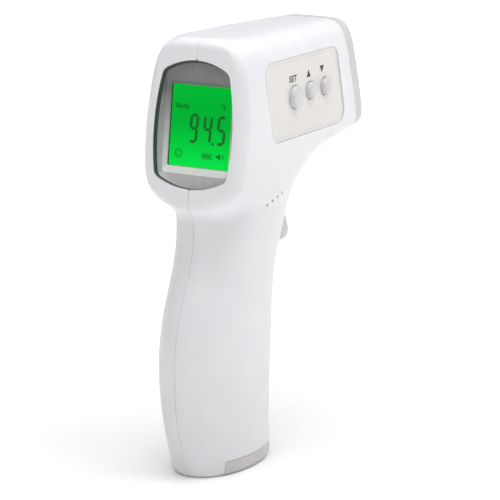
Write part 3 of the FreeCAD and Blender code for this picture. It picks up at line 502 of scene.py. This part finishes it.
INK_LOW, INK_HIGH = -GLASS_DEPTH + 0.01, -GLASS_DEPTH + 0.05
TEXT_MIDDLE = INK_LOW + LETTER_THICKNESS / 2
TEXT_BOLD = 0.06
READING = "945"
SEGMENTS = {"9": "abcdfg", "4": "bcfg", "5": "acdfg"}
DIGIT_WIDTH, DIGIT_HEIGHT, DIGIT_STROKE = 3.5, 9.9, 1.05
DIGIT_PITCH, DIGIT_SLANT, SEGMENT_GAP = 5.4, 0.055, 0.05
DIGITS_LEFT, DIGITS_FOOT = -4.95, -6.3
POINT_X, POINT_Y, POINT_RADIUS = 4.75, -6.0, 0.48


def segment(kind):
    """The outline of one bar of a seven-segment digit, with pointed ends."""
    half = DIGIT_STROKE / 2
    left, right = half, DIGIT_WIDTH - half
    rows = {"d": half, "g": DIGIT_HEIGHT / 2, "a": DIGIT_HEIGHT - half}
    if kind in rows:
        y = rows[kind]
        x0, x1 = left + SEGMENT_GAP, right - SEGMENT_GAP
        return [(x0, y), (x0 + half, y - half), (x1 - half, y - half), (x1, y),
                (x1 - half, y + half), (x0 + half, y + half)]
    x = left if kind in "ef" else right
    low, high = (rows["d"], rows["g"]) if kind in "ec" else (rows["g"], rows["a"])
    low, high = low + SEGMENT_GAP, high - SEGMENT_GAP
    return [(x, low), (x + half, low + half), (x + half, high - half), (x, high),
            (x - half, high - half), (x - half, low + half)]


def reading_digits():
    """Three slanted digits and the decimal point before the last."""
    outlines = []
    for index, digit in enumerate(READING):
        left = DIGITS_LEFT + index * DIGIT_PITCH
        for kind in SEGMENTS[digit]:
            outlines.append([(left + x + DIGIT_SLANT * y, DIGITS_FOOT + y) for x, y in segment(kind)])
    outlines += ring_plates(POINT_X, POINT_Y, 0.0001, POINT_RADIUS, steps=12)
    piece("reading_digits", plates("reading_digits", outlines, DISPLAY, INK_LOW, INK_HIGH), SEGMENT_INK)


def reading_words():
    """The small word for the measuring mode, and the unit's letter."""
    word_spot, unit_spot = (-10.35, 5.05, TEXT_MIDDLE), (8.15, 5.1, TEXT_MIDDLE)
    lettering("reading_body", "Body", DISPLAY, 2.35, 1.05, word_spot, SEGMENT_INK, TEXT_BOLD)
    lettering("reading_unit", "F", DISPLAY, 2.7, 0.85, unit_spot, SEGMENT_INK, TEXT_BOLD)


def face_icon(x, y):
    """A smiling face round its middle."""
    outlines = ring_plates(x, y, 1.25, 1.5, steps=32)
    outlines += ring_plates(x, y + 0.1, 0.62, 0.84, math.radians(205), math.radians(335), 10)
    outlines += [box_plate(eye - 0.14, y + 0.25, eye + 0.14, y + 0.7) for eye in (x - 0.5, x + 0.5)]
    return outlines


def battery_icon(left, foot):
    """A lying cell from its lower left corner: four walls, a terminal on the left and three bars."""
    right, top = left + 3.7, foot + 2.02
    outlines = [box_plate(left, foot, right, foot + 0.22),
                box_plate(left, top - 0.22, right, top),
                box_plate(right - 0.2, foot + 0.2, right, top - 0.2),
                box_plate(left, foot + 0.2, left + 0.2, top - 0.2),
                box_plate(left - 0.35, foot + 0.65, left, foot + 1.35)]
    bars = [left + 0.5 + 0.95 * k for k in range(3)]
    outlines += [box_plate(bar, foot + 0.5, bar + 0.62, foot + 1.52) for bar in bars]
    return outlines


def speaker_icon(left, foot):
    """A loudspeaker from its lower left corner, with two waves on its right."""
    back, mouth = left + 0.6, left + 1.65
    outlines = [box_plate(left, foot + 0.6, back, foot + 1.35),
                [(back, foot + 0.6), (mouth, foot), (mouth, foot + 1.95), (back, foot + 1.35)]]
    for inner, reach, steps in ((0.75, math.radians(40), 6), (1.3, math.radians(42), 8)):
        outlines += ring_plates(left + 1.55, foot + 0.98, inner, inner + 0.2, -reach, reach, steps)
    return outlines


def reading_icons():
    """The degree ring by the unit, and the face, battery and loudspeaker in the bottom row."""
    outlines = ring_plates(7.65, 7.15, 0.22, 0.42, steps=14)
    outlines += face_icon(-8.4, -10.1)
    outlines += battery_icon(1.1, -11.2)
    outlines += speaker_icon(6.35, -11.0)
    piece("reading_icons", plates("reading_icons", outlines, DISPLAY, INK_LOW, INK_HIGH), SEGMENT_INK)


def display_content():
    """All the dark segments on the lit glass."""
    reading_digits()
    reading_words()
    reading_icons()


# ---------------------------------------------------------------- keys

KEYS = {"set": (-8.05, -0.05, 3.9), "up": (3.6, 0.7, 3.0), "down": (14.65, 0.7, 3.0)}    # x, y, radius
KEY_SHOULDER, KEY_CROWN = 1.25, 2.0       # above the label: where the edge starts, and the middle
KEY_EDGE = 1.3                            # how far in the rounded edge reaches
KEY_DOME = 0.15                           # how much the crown rises from the edge to the middle
KEY_EDGE_STEPS, KEY_CROWN_STEPS = 8, 5
FOOT_RADIUS, FOOT_LOW = 1.6, -3.6
FLANGE_REACH, FLANGE_LOW, FLANGE_HIGH = 0.9, -2.8, -2.0


def key_profile(radius):
    """(distance from the axis, height) from the foot up over the flange and the rounded crown."""
    flange = radius + FLANGE_REACH
    foot = [(0, FOOT_LOW), (FOOT_RADIUS, FOOT_LOW), (FOOT_RADIUS, FLANGE_LOW), (flange, FLANGE_LOW),
            (flange, FLANGE_HIGH), (radius - 0.02, FLANGE_HIGH)]
    inner = radius - KEY_EDGE
    rise = KEY_CROWN - KEY_DOME - KEY_SHOULDER
    turns = [math.pi / 2 * k / KEY_EDGE_STEPS for k in range(KEY_EDGE_STEPS + 1)]
    edge = [(inner + KEY_EDGE * math.cos(t), KEY_SHOULDER + rise * math.sin(t)) for t in turns]
    shares = [1 - k / KEY_CROWN_STEPS for k in range(1, KEY_CROWN_STEPS + 1)]
    crown = [(inner * share, KEY_CROWN - KEY_DOME * share ** 2) for share in shares]
    return foot + edge + crown


def turned(name, profile, place, steps=64):
    """A closed mesh turned about a frame's z axis; the profile starts and ends on the axis."""
    build = bmesh.new()
    ends = [build.verts.new(place @ Vector((0, 0, profile[k][1]))) for k in (0, -1)]
    loops = []
    turns = [2 * math.pi * k / steps for k in range(steps)]
    for radius, height in profile[1:-1]:
        spots = [Vector((radius * math.cos(t), radius * math.sin(t), height)) for t in turns]
        loops.append([build.verts.new(place @ spot) for spot in spots])
    for i in range(steps):
        j = (i + 1) % steps
        build.faces.new((ends[0], loops[0][j], loops[0][i]))
        build.faces.new((ends[1], loops[-1][i], loops[-1][j]))
        for low, high in zip(loops, loops[1:]):
            build.faces.new((low[i], low[j], high[j], high[i]))
    return finished_mesh(name, build, smooth=True)


def domed_keys():
    """Each cap rides on its key's body in place of the plain CAD cap."""
    for name, (x, y, radius) in KEYS.items():
        place = PANEL @ Matrix.Translation((x, y, 0))
        mesh = turned(name + "_cap", key_profile(radius), place)
        cap = piece(name + "_cap", mesh, LOOKS["key_plastic"], name + "_key")
        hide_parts(name + "_button")


# ---------------------------------------------------------------- prints on the side label

PRINT_LOW, PRINT_HIGH = 0.005, 0.03
LABEL_MIDDLE, LABEL_HALF_LENGTH, LABEL_HALF_HEIGHT, LABEL_RAKE = -0.5, 27.5, 13.65, 3.2
BORDER_IN, BORDER_WIDTH, BORDER_ROUND = 1.0, 0.16, 4.0
LETTER_BOLD = 0.09


def label_ring(inset, rounding):
    """The label's outline, a leaning rectangle with rounded corners, moved in by inset."""
    signs = [(1, 1), (-1, 1), (-1, -1), (1, -1)]
    length, height = LABEL_HALF_LENGTH - inset - rounding, LABEL_HALF_HEIGHT - inset - rounding
    lean = LABEL_RAKE / LABEL_HALF_HEIGHT
    points = []
    for quarter, (side, up) in enumerate(signs):
        for k in range(CORNER_STEPS + 1):
            turn = math.pi / 2 * (quarter + k / CORNER_STEPS)
            x, y = side * length + rounding * math.cos(turn), up * height + rounding * math.sin(turn)
            points.append((LABEL_MIDDLE + x - lean * y, y))
    return points


def label_border():
    """A fine printed line round the label, just inside its edge."""
    outer = label_ring(BORDER_IN, BORDER_ROUND)
    inner = label_ring(BORDER_IN + BORDER_WIDTH, BORDER_ROUND - BORDER_WIDTH)
    count = len(outer)
    strips = [[outer[i], outer[(i + 1) % count], inner[(i + 1) % count], inner[i]] for i in range(count)]
    piece("print_border", plates("print_border", strips, PANEL, PRINT_LOW, PRINT_HIGH), BORDER_INK)


def label_prints():
    """The key's word and the two arrows above the keys."""
    lettering("print_set", "SET", PANEL, 2.95, 1.18, (-12.15, 5.4, PRINT_LOW), DARK_INK, LETTER_BOLD)
    arrows = [[(0.8, 5.5), (3.85, 5.5), (2.3, 8.1)], [(10.85, 8.2), (12.45, 5.7), (14.1, 8.2)]]
    piece("print_arrows", plates("print_arrows", arrows, PANEL, PRINT_LOW, PRINT_HIGH), DARK_INK)


# ---------------------------------------------------------------- stage, lights and camera

CAMERA_TARGET = Vector((-3.24, 0, 71.21)) * MM
CAMERA_DISTANCE = 808.35 * MM
CAMERA_BEARING = math.radians(31.38)     # of the view direction from +X towards +Y
CAMERA_DIP = math.radians(12.88)
CAMERA_LENS = 167.4

# name, place, width, height, power
SOFTBOXES = [
    ("top_light", (0.0, 0.0, 1.4), 1.4, 1.4, 21.5),
    ("high_back_light", (-0.9, -0.2, 1.3), 0.8, 0.8, 5.0),
    ("high_right_light", (0.2, -0.9, 1.2), 0.8, 0.8, 4.9),
    ("nose_light", (1.3, -0.8, 0.6), 1.0, 1.0, 4.6),
]
LIGHTS_AIM = Vector((0, 0, 0.08))
WORLD_STRENGTH = 0.01
FLOOR_HALF = 6.0
FLOOR_GLOW = 0.95
FLOOR_NEAR_SHARE = 0.09         # of the glow, under the object
FLOOR_NEAR, FLOOR_FAR = 0.1, 1.2          # where the glow starts to grow, and where it is full


def stage():
    """A pale paper floor that glows more the further it is from the object."""
    mesh = bpy.data.meshes.new("floor")
    corners = [(FLOOR_HALF * x, FLOOR_HALF * y, 0) for x, y in ((-1, -1), (1, -1), (1, 1), (-1, 1))]
    mesh.from_pydata(corners, [], [(0, 1, 2, 3)])
    floor = linked("floor", mesh)
    look = Look("floor_paper", Roughness=0.8)
    look.shader.inputs["Emission Color"].default_value = (1, 1, 1, 1)
    reach = look.tree.nodes.new("ShaderNodeVectorMath")
    reach.operation = "LENGTH"
    look.link(look.place, reach.inputs[0])
    near_glow = FLOOR_NEAR_SHARE * FLOOR_GLOW
    glow = look.ranged(reach.outputs["Value"], near_glow, FLOOR_GLOW, FLOOR_NEAR, FLOOR_FAR)
    look.link(glow, look.shader.inputs["Emission Strength"])
    look.colour(grey(0.88), grey(0.9), 40)
    look.bumps((1.5, 0.02))
    mesh.materials.append(look.material)


def softbox(name, position, width, height, power):
    """A rectangular area light turned to the object."""
    data = bpy.data.lights.new(name, "AREA")
    data.shape = "RECTANGLE"
    data.size = width
    data.size_y = height
    data.energy = power
    lamp = linked(name, data)
    lamp.location = position
    lamp.rotation_euler = (LIGHTS_AIM - Vector(position)).to_track_quat("-Z", "Y").to_euler()


def lights():
    """The softboxes and a faint even world."""
    for box in SOFTBOXES:
        softbox(*box)
    world = bpy.data.worlds.new("studio")
    world.use_nodes = True
    background = world.node_tree.nodes["Background"]
    background.inputs["Color"].default_value = (1, 1, 1, 1)
    background.inputs["Strength"].default_value = WORLD_STRENGTH
    bpy.context.scene.world = world


def camera():
    """A long lens that looks down a little at the display and the right side."""
    view = Vector((math.cos(CAMERA_BEARING) * math.cos(CAMERA_DIP),
                   math.sin(CAMERA_BEARING) * math.cos(CAMERA_DIP), -math.sin(CAMERA_DIP)))
    data = bpy.data.cameras.new("camera")
    data.lens = CAMERA_LENS
    data.sensor_width = 36.0
    data.clip_start = 0.01
    data.clip_end = 50
    eye = linked("camera", data)
    eye.location = CAMERA_TARGET - view * CAMERA_DISTANCE
    eye.rotation_euler = view.to_track_quat("-Z", "Y").to_euler()
    bpy.context.scene.camera = eye


# ---------------------------------------------------------------- build

dress_cad()
display_surround()
display_content()
label_prints()
label_border()
domed_keys()
stage()
lights()
camera()
bpy.context.scene.view_settings.view_transform = "Standard"
